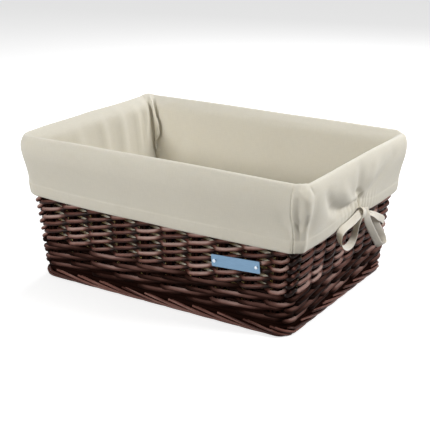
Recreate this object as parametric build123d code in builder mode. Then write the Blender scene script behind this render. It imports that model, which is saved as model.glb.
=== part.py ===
from build123d import *
from math import asin, cos, degrees, pi, radians, sin, tan
import os

os.makedirs("parts", exist_ok=True)

# Rectangular willow basket with a removable cloth liner, in millimetres.
# Origin: centre of the footprint on the ground. +X is the end with the tie, -Y the long side
# with the badge. The wall is described by the stake line, the rounded rectangle that the
# centres of the stakes follow. It widens from the ground up, and every other piece is placed
# by its height and by how far outside (+) or inside (-) the stake line it lies.

# ---- basket ----
wall_height = 184.0
foot_length = 341.0
foot_width = 245.0
end_flare = 22.5
side_flare = 7.0
corner_radius = 12.0

stake_diameter = 4.8
stake_gap = 0.2
side_stakes = 10
side_stake_margin = 4.6
end_stakes = 8
end_stake_margin = 15.6

rod_clearance = 0.25
course_end_gap = 0.3

weaver_diameter = 4.6
weaver_row_gap = 4.9
weaver_above_wale = 9.0

wale_diameter = 3.8
wale_pitch = 8.0
wale_rows = 4
first_wale_height = 22.5

border_rod_diameter = 4.8
foot_roll_radius = 6.4
foot_roll_rods = 6
rim_roll_radius = 8.4
rim_roll_rods = 6
rim_roll_drop = 12.5
rim_roll_offset = 2.6
rim_roll_first_angle = -30.0

base_stick_diameter = 7.0
base_stick_count = 7
base_stick_height = 14.5
base_stick_margin = 11.9
base_weaver_diameter = 5.0
base_weaver_count = 36
base_weaver_margin = 5.0
base_edge_clearance = 0.3

# ---- badge ----
badge_length = 63.0
badge_height = 14.4
badge_thickness = 1.2
badge_from_end = 66.8
badge_rows_up = 2
badge_tilt = 3.4
badge_corner_radius = 1.2
badge_clearance = 0.25
pin_inset = 4.3
pin_shank_diameter = 1.5
pin_hole_clearance = 0.15
pin_head_diameter = 4.2
pin_head_height = 1.4
pin_head_roundness = 0.6
pin_length = 5.6

# ---- liner ----
cloth_thickness = 1.6
liner_wall_clearance = 1.05
liner_floor_clearance = 0.6
rim_cover_clearance = 0.3
seam_gap = 0.3
flap_rim_clearance = 0.5
flap_shoulder_drop = 21.0
hem_height = 105.0
flap_waist_clearance = 2.75
casing_height = 15.0
casing_clearance = 1.8
casing_depth = 4.0
tie_slit_y = 6.5
tie_slit_width = 3.2
tie_slit_depth = 16.0
tie_slit_rise = 4.0
tape_thickness = 1.0
tape_width = 9.0
tape_clearance = 0.3
knot_depth = 10.0
knot_width = 13.0
knot_height = 12.0
knot_drop = 2.0
knot_clearance = 0.3
knot_edge_radius = 2.0
throat_height = 4.0
cord_diameter = 3.0

# The tie's loops and end, as points in space that each hanging stretch passes by.
left_loop_points = [
    (202.0, 0.0, 120.0),
    (202.0, -11.5, 120.0),
    (201.0, -26.0, 116.0),
    (200.5, -39.0, 110.0),
    (200.0, -46.5, 99.5),
    (199.0, -42.0, 88.0),
    (198.0, -30.0, 81.0),
    (198.5, -17.5, 82.5),
    (200.0, -6.0, 91.0),
    (202.0, 3.6, 102.0),
    (202.0, 3.6, 112.0),
]
right_loop_points = [
    (203.0, 9.4, 112.0),
    (203.0, 9.4, 101.5),
    (204.5, 14.0, 88.5),
    (206.5, 25.0, 76.5),
    (206.0, 37.0, 66.0),
    (205.5, 49.5, 60.5),
    (205.0, 59.0, 67.5),
    (205.0, 57.0, 79.0),
    (204.5, 48.0, 89.0),
    (204.0, 37.5, 98.0),
    (203.0, 29.5, 107.0),
    (202.0, 22.5, 116.0),
    (202.0, 13.0, 116.0),
]
tie_end_points = [
    (204.6, 13.0, 120.3),
    (204.6, 24.0, 120.3),
    (207.5, 36.0, 112.0),
    (209.0, 48.5, 102.0),
    (209.0, 59.0, 94.0),
]

# ---- worked out from the sizes above ----
stake_radius = stake_diameter / 2
weaver_offset = stake_radius + weaver_diameter / 2 + rod_clearance
weaver_pitch = weaver_diameter + weaver_row_gap
first_weaver_height = first_wale_height + (wale_rows - 1) * wale_pitch + weaver_above_wale
wall_face = weaver_offset + weaver_diameter / 2
wale_offset = stake_radius + wale_diameter / 2 + rod_clearance
border_step = border_rod_diameter + stake_gap
foot_roll_step = 2 * degrees(asin(border_step / 2 / foot_roll_radius))
foot_roll_height = foot_roll_radius * cos(radians(foot_roll_step / 2)) + border_rod_diameter / 2
foot_roll_inner = -foot_roll_radius - border_rod_diameter / 2
rim_roll_step = 2 * degrees(asin(border_step / 2 / rim_roll_radius))
rim_roll_last_angle = rim_roll_first_angle + (rim_roll_rods - 1) * rim_roll_step
rim_roll_height = wall_height - rim_roll_drop
rim_roll_outer_height = rim_roll_height + rim_roll_radius * sin(radians(rim_roll_first_angle))
rim_roll_low = rim_roll_outer_height - border_rod_diameter / 2
weaver_room = rim_roll_low - weaver_diameter / 2 - rod_clearance - first_weaver_height
weaver_rows = int(weaver_room / weaver_pitch) + 1
rim_roll_inner_height = rim_roll_height + rim_roll_radius * sin(radians(rim_roll_last_angle))
stake_foot_height = border_rod_diameter + 2 * stake_gap
stake_top_height = rim_roll_inner_height - border_rod_diameter / 2 - stake_gap
rim_top = rim_roll_height + rim_roll_radius + border_rod_diameter / 2
rim_outer = rim_roll_offset + rim_roll_radius + border_rod_diameter / 2
base_weaver_rise = base_stick_diameter / 2 + base_weaver_diameter / 2 + stake_gap
base_top = base_stick_height + base_weaver_rise + base_weaver_diameter / 2
base_edge = foot_roll_inner - base_edge_clearance
liner_outer = -wall_face - liner_wall_clearance
liner_inner = liner_outer - cloth_thickness
liner_floor_bottom = base_top + liner_floor_clearance
cover_bottom = rim_top + rim_cover_clearance
flap_rim_inner = rim_outer + flap_rim_clearance
flap_waist_inner = wall_face + flap_waist_clearance
flap_shoulder_height = wall_height - flap_shoulder_drop
casing_top_height = hem_height + casing_height
casing_inner = wall_face + casing_clearance
casing_outer = casing_inner + casing_depth

casing_wall = (casing_depth - tape_thickness) / 2 - tape_clearance
casing_rim = (casing_height - tape_width) / 2 - tape_clearance
tape_inner = casing_inner + casing_wall + tape_clearance
tape_bottom = hem_height + casing_rim + tape_clearance
tie_slit_height = casing_top_height + tie_slit_rise
knot_centre_z = casing_top_height - knot_drop

# Each side of the basket: the turn about Z that carries the front to it.
side_turns = {"front": 0, "right": 90, "back": 180, "left": 270}


def finish(piece, label):
    piece.label = label
    export_step(piece, f"parts/{label}.step")
    return piece


def half_length(z):
    return foot_length / 2 + end_flare * z / wall_height


def half_width(z):
    return foot_width / 2 + side_flare * z / wall_height


def side_halves(side, z):
    """Half the stake line along this side, and from the middle out to it, at height z."""
    if side in ("front", "back"):
        return half_length(z), half_width(z)
    return half_width(z), half_length(z)


def side_plane(side, z):
    """Level plane at height z whose X runs along the side, with the outside at -Y."""
    turn = radians(side_turns[side])
    return Plane(origin=(0, 0, z), x_dir=(cos(turn), sin(turn), 0), z_dir=(0, 0, 1))


def course_line(side, z, offset, line_height):
    """One level course of a side: a straight run and half of each corner, its offset measured
    from the stake line at line_height."""
    along, out = side_halves(side, line_height)
    straight = along - corner_radius
    centre = -(out - corner_radius)
    radius = corner_radius + offset
    trim = degrees(course_end_gap / 2 / radius)
    with BuildLine(side_plane(side, z)) as line:
        start = CenterArc((-straight, centre), radius, 225 + trim, 45 - trim)
        run = Line(start @ 1, (straight, centre - radius))
        CenterArc((straight, centre), radius, 270, 45 - trim)
    return line.line


def courses(label, side, places, diameter):
    """A group of round rods, one for each (height, offset, line height) in places."""
    with BuildPart() as group:
        for place in places:
            path = course_line(side, *place)
            with BuildSketch(Plane(origin=path @ 0, z_dir=path % 0)):
                Circle(diameter / 2)
            sweep(path=path)
    return finish(group.part, label)


def wall_point(side, along_share, z, shift):
    """Point of the stake line on a side: a share of the way to its last stake, and a shift."""
    along, out = side_halves(side, z)
    margin = side_stake_margin if side in ("front", "back") else end_stake_margin
    reach = along - corner_radius - margin
    return side_plane(side, z).from_local_coords(Vector(along_share * reach + shift, -out, 0))


def straight_rod(start, end, diameter):
    """Round rod between two points, square at its ends."""
    direction = end - start
    with BuildSketch(Plane(origin=start, z_dir=direction)) as section:
        Circle(diameter / 2)
    extrude(section.sketch, amount=direction.length)


def side_stake_group(side):
    """Stakes of one side, each a pair of rods standing side by side."""
    count = side_stakes if side in ("front", "back") else end_stakes
    pair_shift = (stake_diameter + stake_gap) / 2
    with BuildPart() as group:
        for number in range(count):
            share = 2 * number / (count - 1) - 1
            for shift in (-pair_shift, pair_shift):
                foot = wall_point(side, share, stake_foot_height, shift)
                top = wall_point(side, share, stake_top_height, shift)
                straight_rod(foot, top, stake_diameter)
    return finish(group.part, f"stakes_{side}")


def corner_stake_group():
    """A pair of stakes in each corner, both on the corner's arc."""
    half_turn = degrees(asin((stake_diameter + stake_gap) / 2 / corner_radius))
    with BuildPart() as group:
        for sign_x, sign_y in ((1, 1), (-1, 1), (-1, -1), (1, -1)):
            for turn in (45 - half_turn, 45 + half_turn):
                ends = []
                for z in (stake_foot_height, stake_top_height):
                    x = half_length(z) - corner_radius + corner_radius * cos(radians(turn))
                    y = half_width(z) - corner_radius + corner_radius * sin(radians(turn))
                    ends.append(Vector(sign_x * x, sign_y * y, z))
                straight_rod(ends[0], ends[1], stake_diameter)
    return finish(group.part, "stakes_corners")


# ---- wicker walls ----
corner_stake_group()
for side in side_turns:
    side_stake_group(side)

weaver_places = []
for row in range(weaver_rows):
    row_height = first_weaver_height + row * weaver_pitch
    weaver_places += [
        (row_height, weaver_offset, row_height),
        (row_height, -weaver_offset, row_height),
    ]

# A three-rod wale has two rods outside each stake, one over the other, and one inside.
wale_places = []
for row in range(wale_rows):
    row_height = first_wale_height + row * wale_pitch
    rise = (wale_diameter + stake_gap) / 2
    wale_places += [
        (row_height - rise, wale_offset, row_height - rise),
        (row_height + rise, wale_offset, row_height + rise),
        (row_height, -wale_offset, row_height),
    ]


def rolled(centre_height, centre_offset, radius, first_angle, step, count):
    """Places of the rods of a border that is rolled round a level line."""
    places = []
    for number in range(count):
        angle = radians(first_angle + number * step)
        places.append(
            (centre_height + radius * sin(angle), centre_offset + radius * cos(angle), centre_height)
        )
    return places


# The foot border is rolled under the stakes, the rim border over them.
foot_first_angle = -90 - foot_roll_step * (foot_roll_rods - 1) / 2
foot_places = rolled(
    foot_roll_height, 0, foot_roll_radius, foot_first_angle, foot_roll_step, foot_roll_rods
)
rim_places = rolled(
    rim_roll_height, rim_roll_offset, rim_roll_radius, rim_roll_first_angle, rim_roll_step, rim_roll_rods
)

for side in side_turns:
    courses(f"weavers_{side}", side, weaver_places, weaver_diameter)
    courses(f"waling_{side}", side, wale_places, wale_diameter)
    courses(f"foot_border_{side}", side, foot_places, border_rod_diameter)
    courses(f"rim_border_{side}", side, rim_places, border_rod_diameter)

# ---- base: long sticks with weavers over and under them ----
base_half_length = half_length(base_stick_height) + base_edge
base_half_width = half_width(base_stick_height) + base_edge

with BuildPart() as base_sticks:
    stick_pitch = 2 * (base_half_width - base_stick_margin) / (base_stick_count - 1)
    for number in range(base_stick_count):
        y = (number - (base_stick_count - 1) / 2) * stick_pitch
        straight_rod(
            Vector(-base_half_length, y, base_stick_height),
            Vector(base_half_length, y, base_stick_height),
            base_stick_diameter,
        )
finish(base_sticks.part, "base_sticks")

with BuildPart() as base_weavers:
    weaver_step = 2 * (base_half_length - base_weaver_margin) / (base_weaver_count - 1)
    for number in range(base_weaver_count):
        x = (number - (base_weaver_count - 1) / 2) * weaver_step
        z = base_stick_height + (base_weaver_rise if number % 2 else -base_weaver_rise)
        straight_rod(Vector(x, -base_half_width, z), Vector(x, base_half_width, z), base_weaver_diameter)
finish(base_weavers.part, "base_weavers")

# ---- badge on the front, held by two round-headed pins that go in between the weavers ----
front_lean = asin(side_flare / wall_height)
badge_centre_z = first_weaver_height + (badge_rows_up + 0.5) * weaver_pitch
badge_centre_x = half_length(badge_centre_z) - badge_from_end
pin_spacing = badge_length - 2 * pin_inset
badge_y = -half_width(badge_centre_z) - wall_face - badge_clearance
wall_up = Vector(0, -sin(front_lean), cos(front_lean))
badge_along = Vector(1, 0, 0) * cos(radians(badge_tilt)) + wall_up * sin(radians(badge_tilt))
badge_plane = Plane(
    origin=(badge_centre_x, badge_y, badge_centre_z),
    x_dir=badge_along,
    z_dir=(0, -cos(front_lean), -sin(front_lean)),
)

with BuildPart() as badge_plate:
    with BuildSketch(badge_plane):
        RectangleRounded(badge_length, badge_height, badge_corner_radius)
        with GridLocations(pin_spacing, 0, 2, 1):
            Circle(pin_shank_diameter / 2 + pin_hole_clearance, mode=Mode.SUBTRACT)
    extrude(amount=badge_thickness)
finish(badge_plate.part, "badge_plate")

with BuildPart() as badge_pins:
    with BuildSketch(badge_plane.offset(badge_thickness + pin_hole_clearance)):
        with GridLocations(pin_spacing, 0, 2, 1):
            Circle(pin_head_diameter / 2)
    extrude(amount=pin_head_height)
    fillet(badge_pins.faces().group_by(Axis.Y)[0].edges(), pin_head_roundness * pin_head_height)
    with BuildSketch(badge_plane.offset(badge_thickness + pin_hole_clearance)):
        with GridLocations(pin_spacing, 0, 2, 1):
            Circle(pin_shank_diameter / 2)
    extrude(amount=-pin_length)
finish(badge_pins.part, "badge_pins")


# ---- liner: a floor and four side cloths, each turned over the rim and sewn at the corners ----
def strip(side, z, inner, outer):
    """Level section of one side's cloth between two offsets, with half of each corner."""
    along, out = side_halves(side, z)
    straight = along - corner_radius
    centre = -(out - corner_radius)
    edges = []
    with BuildSketch(side_plane(side, z)) as section:
        with BuildLine():
            for offset in (inner, outer):
                radius = corner_radius + offset
                trim = degrees(seam_gap / 2 / radius)
                start = CenterArc((-straight, centre), radius, 225 + trim, 45 - trim)
                run = Line(start @ 1, (straight, centre - radius))
                end = CenterArc((straight, centre), radius, 270, 45 - trim)
                edges.append((start @ 0, end @ 1))
            Line(edges[0][0], edges[1][0])
            Line(edges[0][1], edges[1][1])
        make_face()
    return section.sketch


def outline(z, offset):
    """Whole level outline at one offset from the stake line."""
    length = 2 * (half_length(z) + offset)
    width = 2 * (half_width(z) + offset)
    with BuildSketch(Plane.XY.offset(z)) as section:
        RectangleRounded(length, width, corner_radius + offset)
    return section.sketch


def band(low, high, inner, outer):
    """A closed band round the basket between two heights and two offsets."""
    with BuildPart() as ring:
        loft([outline(low, outer), outline(high, outer)])
        loft([outline(low, inner), outline(high, inner)], mode=Mode.SUBTRACT)
    return ring.part


def liner_side(side):
    """The cloth inside the wall and its turn over the rim."""
    with BuildPart() as cloth:
        loft(
            [
                strip(side, liner_floor_bottom, liner_inner, liner_outer),
                strip(side, cover_bottom, liner_inner, liner_outer),
            ]
        )
        cover = strip(side, cover_bottom, liner_inner, flap_rim_inner + cloth_thickness)
        extrude(cover, amount=cloth_thickness)
    return finish(cloth.part, f"liner_{side}")


def flap_side(side):
    """The cloth outside the wall, from the rim down to the casing."""
    with BuildPart() as cloth:
        loft(
            [
                strip(side, cover_bottom, flap_rim_inner, flap_rim_inner + cloth_thickness),
                strip(side, flap_shoulder_height, flap_rim_inner, flap_rim_inner + cloth_thickness),
                strip(side, casing_top_height, flap_waist_inner, flap_waist_inner + cloth_thickness),
            ],
            ruled=True,
        )
        if side == "right":
            add(tie_slit, mode=Mode.SUBTRACT)
    return finish(cloth.part, f"flap_{side}")


# Upright gap near the middle of the +X end, right through the casing and a little way up the cloth.
with BuildPart() as slit:
    with Locations((half_length(casing_top_height) + casing_outer, tie_slit_y, 0)):
        Box(
            tie_slit_depth,
            tie_slit_width,
            tie_slit_height,
            align=(Align.CENTER, Align.CENTER, Align.MIN),
        )
tie_slit = slit.part

with BuildPart() as liner_floor:
    with BuildSketch(Plane.XY.offset(liner_floor_bottom)):
        RectangleRounded(
            2 * (half_length(liner_floor_bottom) + liner_inner - seam_gap),
            2 * (half_width(liner_floor_bottom) + liner_inner - seam_gap),
            corner_radius + liner_inner - seam_gap,
        )
    extrude(amount=cloth_thickness)
finish(liner_floor.part, "liner_floor")

for side in side_turns:
    liner_side(side)
    flap_side(side)

# ---- hem casing, and the tape that runs in it and comes out at the slit ----
casing_band = band(hem_height, casing_top_height, casing_inner, casing_outer)
casing_hollow = band(
    hem_height + casing_rim,
    casing_top_height - casing_rim,
    casing_inner + casing_wall,
    casing_outer - casing_wall,
)
tape_band = band(tape_bottom, tape_bottom + tape_width, tape_inner, tape_inner + tape_thickness)

with BuildPart() as hem_casing:
    add(casing_band)
    add(casing_hollow, mode=Mode.SUBTRACT)
    add(tie_slit, mode=Mode.SUBTRACT)
finish(hem_casing.part, "hem_casing")

with BuildPart() as drawstring:
    add(tape_band)
    add(tie_slit, mode=Mode.SUBTRACT)
finish(drawstring.part, "drawstring")

# The knot sits outside the slit, with a throat that reaches in to the two ends of the tape.
knot_face = half_length(knot_centre_z) + casing_outer + knot_clearance
throat_inner = half_length(hem_height) + tape_inner
throat_outer = knot_face + knot_edge_radius / 2
with BuildPart() as tie_knot:
    with Locations((knot_face + knot_depth / 2, tie_slit_y, knot_centre_z)):
        Box(knot_depth, knot_width, knot_height)
    fillet(tie_knot.edges(), knot_edge_radius)
    with Locations(((throat_inner + throat_outer) / 2, tie_slit_y, knot_centre_z - throat_height / 2)):
        Box(throat_outer - throat_inner, tie_slit_width - 2 * seam_gap, throat_height)
finish(tie_knot.part, "tie_knot")


def cord_tube(label, points, diameter):
    """Round tube along straight runs joined by arcs as large as the runs allow."""
    places = [Vector(*point) for point in points]
    radii = []
    for before, here, after in zip(places, places[1:], places[2:]):
        run_in = here - before
        run_out = after - here
        half_turn = radians(run_in.get_angle(run_out)) / 2
        radii.append(0.45 * min(run_in.length, run_out.length) / tan(half_turn))
    print(label, "bend radii", [round(radius, 1) for radius in radii])
    with BuildPart() as tube:
        with BuildLine() as path:
            FilletPolyline(*places, radius=radii)
        with BuildSketch(Plane(origin=path.line @ 0, z_dir=path.line % 0)):
            Circle(diameter / 2)
        sweep(path=path.line)
    length = path.wire().length
    share = tube.part.volume / (length * pi * diameter**2 / 4)
    print(label, "length", round(length, 1), "volume to section x length", round(share, 4))
    return finish(tube.part, label)


cord_tube("tie_loop_left", left_loop_points, cord_diameter)
cord_tube("tie_loop_right", right_loop_points, cord_diameter)
cord_tube("tie_end", tie_end_points, cord_diameter)
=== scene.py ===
import bpy
import numpy as np
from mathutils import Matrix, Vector


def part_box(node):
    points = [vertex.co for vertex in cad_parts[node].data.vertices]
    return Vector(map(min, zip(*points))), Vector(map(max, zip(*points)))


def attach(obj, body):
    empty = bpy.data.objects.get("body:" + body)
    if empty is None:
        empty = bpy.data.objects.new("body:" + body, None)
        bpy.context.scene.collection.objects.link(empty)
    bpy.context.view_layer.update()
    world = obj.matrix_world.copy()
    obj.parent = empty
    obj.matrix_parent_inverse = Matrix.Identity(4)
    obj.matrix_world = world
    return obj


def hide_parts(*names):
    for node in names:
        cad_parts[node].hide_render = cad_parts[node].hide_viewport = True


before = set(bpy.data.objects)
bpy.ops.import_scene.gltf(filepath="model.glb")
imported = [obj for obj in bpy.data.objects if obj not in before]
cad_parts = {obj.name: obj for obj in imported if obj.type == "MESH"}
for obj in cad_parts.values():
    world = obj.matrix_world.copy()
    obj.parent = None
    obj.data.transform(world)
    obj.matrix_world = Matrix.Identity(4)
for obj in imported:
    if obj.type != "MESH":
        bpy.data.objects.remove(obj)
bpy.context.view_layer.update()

mm = 0.001

# camera, light and floor
view = {
    "place": (0.66056, -1.03319, 0.50013),
    "target": (0, 0, 0.09219),
    "lens": 85.3,
    "sensor": 36.0,
    "shift": (0.0018, -0.0273),
    "farthest": 20.0,
}
studio = {
    "floorHalf": 12.0,
    "floorColour": (0.76, 0.76, 0.76),
    "floorGlow": 0.56,
    "floorBounce": (0.16, 0.155, 0.15),
    "worldColour": (1.0, 1.0, 1.0),
    "worldStrength": 0.22,
    # place, target, size, power in watts
    "lamps": {
        "keyLamp": ((1.38, 0.32, 0.95), (0, 0, 0.1), 0.6, 20),
        "frontLamp": ((-0.50, -1.75, 0.78), (0, 0, 0.1), 0.45, 25),
        "backLamp": ((-0.3, 1.25, 1.15), (0, 0, 0.1), 0.8, 14),
    },
}


def aim(thing, place, target):
    # Turns a lamp or the camera so that its -Z points from place to target.
    thing.location = place
    direction = Vector(target) - Vector(place)
    thing.rotation_euler = direction.to_track_quat("-Z", "Y").to_euler()


def addThing(name, data):
    # Puts a new thing with this data into the scene.
    thing = bpy.data.objects.new(name, data)
    bpy.context.collection.objects.link(thing)
    return thing


def makeCamera():
    # A camera that looks from its place to its target, with its picture moved by shift.
    data = bpy.data.cameras.new("camera")
    data.sensor_width = view["sensor"]
    data.lens = view["lens"]
    data.shift_x, data.shift_y = view["shift"]
    data.clip_end = view["farthest"]
    camera = addThing("camera", data)
    aim(camera, view["place"], view["target"])
    bpy.context.scene.camera = camera


def makeLamps():
    # Round flat lamps, each aimed from its place at its target.
    for name, (place, target, size, power) in studio["lamps"].items():
        data = bpy.data.lights.new(name, "AREA")
        data.shape = "DISK"
        data.size = size
        data.energy = power
        aim(addThing(name, data), place, target)


def setInputs(tree, node, inputs):
    # Links each input that is given a socket and sets the others to the values given.
    for key, value in inputs.items():
        if isinstance(value, bpy.types.NodeSocket):
            tree.links.new(value, node.inputs[key])
        else:
            node.inputs[key].default_value = value


def addNode(tree, kind, inputs, **settings):
    # A new node with its inputs and settings filled in. Returns its outputs.
    node = tree.nodes.new(kind)
    for key, value in settings.items():
        setattr(node, key, value)
    setInputs(tree, node, inputs)
    return node.outputs


def arithmetic(tree, operation, *values):
    # One step of arithmetic on sockets or plain numbers.
    return addNode(tree, "ShaderNodeMath", dict(enumerate(values)), operation=operation)[0]


def mixSeen(tree, gathering, seen, outputKind):
    # Ends a tree with one shader for the rays that gather light and another for those that the
    # eye, a gloss or a clear thing sends: a mix by the most of those three kinds of ray.
    path = addNode(tree, "ShaderNodeLightPath", {})
    share = arithmetic(tree, "MAXIMUM", path["Is Camera Ray"], path["Is Glossy Ray"])
    share = arithmetic(tree, "MAXIMUM", share, path["Is Transmission Ray"])
    mix = addNode(tree, "ShaderNodeMixShader", {0: share, 1: gathering, 2: seen})
    addNode(tree, outputKind, {0: mix[0]})


def makeWorld():
    # Light from all round, which is plain white where it is seen.
    world = bpy.data.worlds.new("softWhite")
    world.use_nodes = True
    bpy.context.scene.world = world
    tree = world.node_tree
    tree.nodes.clear()
    colour, strength = (*studio["worldColour"], 1), studio["worldStrength"]
    lit = addNode(tree, "ShaderNodeBackground", {"Color": colour, "Strength": strength})
    white = addNode(tree, "ShaderNodeBackground", {"Color": (1, 1, 1, 1)})
    mixSeen(tree, lit[0], white[0], "ShaderNodeOutputWorld")


def makeFloor():
    # A flat square under the basket. It is near white to look at and keeps the basket's shadow,
    # and throws only a little light back up.
    half = studio["floorHalf"]
    mesh = bpy.data.meshes.new("floor")
    corners = [(-half, -half, 0), (half, -half, 0), (half, half, 0), (-half, half, 0)]
    mesh.from_pydata(corners, [], [(0, 1, 2, 3)])
    floor = addThing("floor", mesh)
    material = bpy.data.materials.new("paleFloor")
    material.use_nodes = True
    tree = material.node_tree
    tree.nodes.clear()
    pale = addNode(tree, "ShaderNodeBsdfDiffuse", {"Color": (*studio["floorColour"], 1)})
    glow = addNode(tree, "ShaderNodeEmission", {"Strength": studio["floorGlow"]})
    dull = addNode(tree, "ShaderNodeBsdfDiffuse", {"Color": (*studio["floorBounce"], 1)})
    bright = addNode(tree, "ShaderNodeAddShader", {0: pale[0], 1: glow[0]})
    mixSeen(tree, dull[0], bright[0], "ShaderNodeOutputMaterial")
    mesh.materials.append(material)


makeCamera()
makeLamps()
makeWorld()
makeFloor()
bpy.context.scene.view_settings.view_transform = "Standard"
print("stage: camera, lamps and floor")


# the wall that everything follows
def sideNames(part):
    # The names of a part's four sides.
    return [f"{part}_{side}" for side in ("front", "right", "back", "left")]


def boxOf(node):
    # The lowest and highest corner of a node's box.
    low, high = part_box(node)
    return np.array(low), np.array(high)


stakeRadius = 2.4 * mm
endLow, endHigh = boxOf("stakes_right")
frontLow, frontHigh = boxOf("stakes_front")
wall = {
    "corner": 12.0 * mm,
    "sideStakes": 10,
    "sideMargin": 4.6 * mm,
    "endStakes": 8,
    "endMargin": 15.6 * mm,
    "cornerStake": 1.6,  # turn of a corner's own stake, counted from the start of its side
    "low": endLow[2],
    "high": endHigh[2],
    "lengths": (endLow[0] + stakeRadius, endHigh[0] - stakeRadius),
    "widths": (-frontHigh[1] + stakeRadius, -frontLow[1] - stakeRadius),
}
stakeCount = 2 * (wall["sideStakes"] + wall["endStakes"]) + 4


def halfSizes(height):
    # Half the stake line's length and width, which grow evenly with height.
    share = (np.asarray(height, float) - wall["low"]) / (wall["high"] - wall["low"])
    lengths, widths = wall["lengths"], wall["widths"]
    return lengths[0] + (lengths[1] - lengths[0]) * share, widths[0] + (widths[1] - widths[0]) * share


def wallPoint(turn, height, offset, corner=wall["corner"]):
    # A point beside the rounded rectangle of the stake line. Turn counts 0 to 8: the front, its
    # right corner, the right end, and so on round. Centre of the corner's circle, which runs
    # along on a straight side, plus the corner's radius and the offset, outwards.
    turn, height, offset = np.broadcast_arrays(np.mod(turn, 8.0), height, offset)
    step = np.floor(turn).astype(int)
    share = turn - step
    side = step // 2
    bent = step % 2
    halfLength, halfWidth = halfSizes(height)
    signX = np.array([-1, 1, 1, -1, -1])
    signY = np.array([-1, -1, 1, 1, -1])
    along = np.where(bent == 1, 1.0, share)
    x = (signX[side] * (1 - along) + signX[side + 1] * along) * (halfLength - corner)
    y = (signY[side] * (1 - along) + signY[side + 1] * along) * (halfWidth - corner)
    angle = np.radians(-90 + 90 * (side + np.where(bent == 1, share, 0.0)))
    reach = corner + offset
    return np.stack([x + reach * np.cos(angle), y + reach * np.sin(angle), height + 0 * x], axis=-1)


def outwards(turn):
    # Level direction away from the wall: from a point on it to the one a metre further out.
    return wallPoint(turn, 0, 1) - wallPoint(turn, 0, 0)


def stakeTurns(height):
    # The turn of each stake: spread along a side between its margins, and one in each corner.
    turns = []
    for side in range(4):
        half = halfSizes(height)[side % 2] - wall["corner"]
        count = (wall["sideStakes"], wall["endStakes"])[side % 2]
        margin = (wall["sideMargin"], wall["endMargin"])[side % 2]
        shares = np.linspace(-1, 1, count) * (half - margin) / half
        turns += list(2 * side + (shares + 1) / 2)
        turns.append(2 * side + wall["cornerStake"])
    return np.array(turns)


def turnOf(stake, height):
    # The turn at a place counted in stakes, whole numbers being the stakes themselves.
    turns = stakeTurns(height)
    around = np.floor(stake / stakeCount)
    knots = np.append(turns, turns[0] + 8)
    return np.interp(stake - around * stakeCount, np.arange(stakeCount + 1), knots) + 8 * around


def wander(places, waves, seed):
    # A smooth closed random curve of places in 0 to 1: sines of 1 to waves turns with random
    # phases and sizes, scaled to about -1 to 1.
    rng = np.random.default_rng(seed)
    turns = np.arange(1, waves + 1)
    phases = rng.uniform(0, 2 * np.pi, waves)
    sizes = rng.uniform(0.4, 1, waves)
    curve = (sizes * np.sin(2 * np.pi * np.multiply.outer(places, turns) + phases)).sum(-1)
    return curve / np.sqrt((sizes**2).sum() / 2) / 2


def rhythm(place, period, keys, softness=0.05):
    # A curve that repeats every period stakes. It runs straight from key to key, each a place
    # and a value, and a blur of softness stakes rounds its bends.
    count = 600
    steps = np.linspace(0, period, count, endpoint=False)
    places, values = np.array(keys, float).T
    curve = np.interp(steps, places, values, period=period)
    turns = np.fft.rfftfreq(count, period / count)
    curve = np.fft.irfft(np.fft.rfft(curve) * np.exp(-2 * (np.pi * softness * turns) ** 2), count)
    return np.interp(np.mod(place, period), np.append(steps, period), np.append(curve, curve[0]))


def softStep(value):
    # 0 below 0, 1 above 1, and 3 squares less 2 cubes of the value between.
    value = np.clip(value, 0, 1)
    return value * value * (3 - 2 * value)


# making meshes
def unit(vectors):
    # Vectors over their own lengths.
    return vectors / np.maximum(np.linalg.norm(vectors, axis=-1, keepdims=True), 1e-12)


def addPiece(name, vertices, faces, uv=None, tone=None):
    # Puts arrays into a smooth mesh. uv has a pair and tone a number for each vertex.
    mesh = bpy.data.meshes.new(name)
    mesh.from_pydata(vertices.tolist(), [], faces)
    mesh.polygons.foreach_set("use_smooth", np.ones(len(mesh.polygons), bool))
    corners = np.empty(len(mesh.loops), int)
    mesh.loops.foreach_get("vertex_index", corners)
    if uv is not None:
        layer = mesh.uv_layers.new(name="along")
        layer.data.foreach_set("uv", uv[corners].ravel())
    if tone is not None:
        attribute = mesh.attributes.new("tone", "FLOAT", "POINT")
        attribute.data.foreach_set("value", tone.astype(float).ravel())
    mesh.update()
    return addThing(name, mesh)


def gridFaces(rows, columns, closeRows=False, closeColumns=False, first=0):
    # Four-sided faces between neighbours on a grid of rows by columns.
    r = np.arange(rows if closeRows else rows - 1)
    c = np.arange(columns if closeColumns else columns - 1)
    r, c = np.meshgrid(r, c, indexing="ij")
    r1, c1 = (r + 1) % rows, (c + 1) % columns
    quads = np.stack([r * columns + c, r * columns + c1, r1 * columns + c1, r1 * columns + c], axis=-1)
    return (quads.reshape(-1, 4) + first).tolist()


def tipFaces(tips, firsts, sides, turned):
    # Three-sided faces from each tip to the ring of sides vertices that starts at its first.
    firsts = np.reshape(firsts, (-1, 1))
    corner, after = firsts + np.arange(sides), firsts + (np.arange(sides) + 1) % sides
    pair = (after, corner) if turned else (corner, after)
    faces = np.stack(np.broadcast_arrays(np.reshape(tips, (-1, 1)), *pair), axis=-1)
    return faces.reshape(-1, 3).tolist()


tip = 0.3 * mm  # height of the low cone that closes a rod's end


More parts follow.
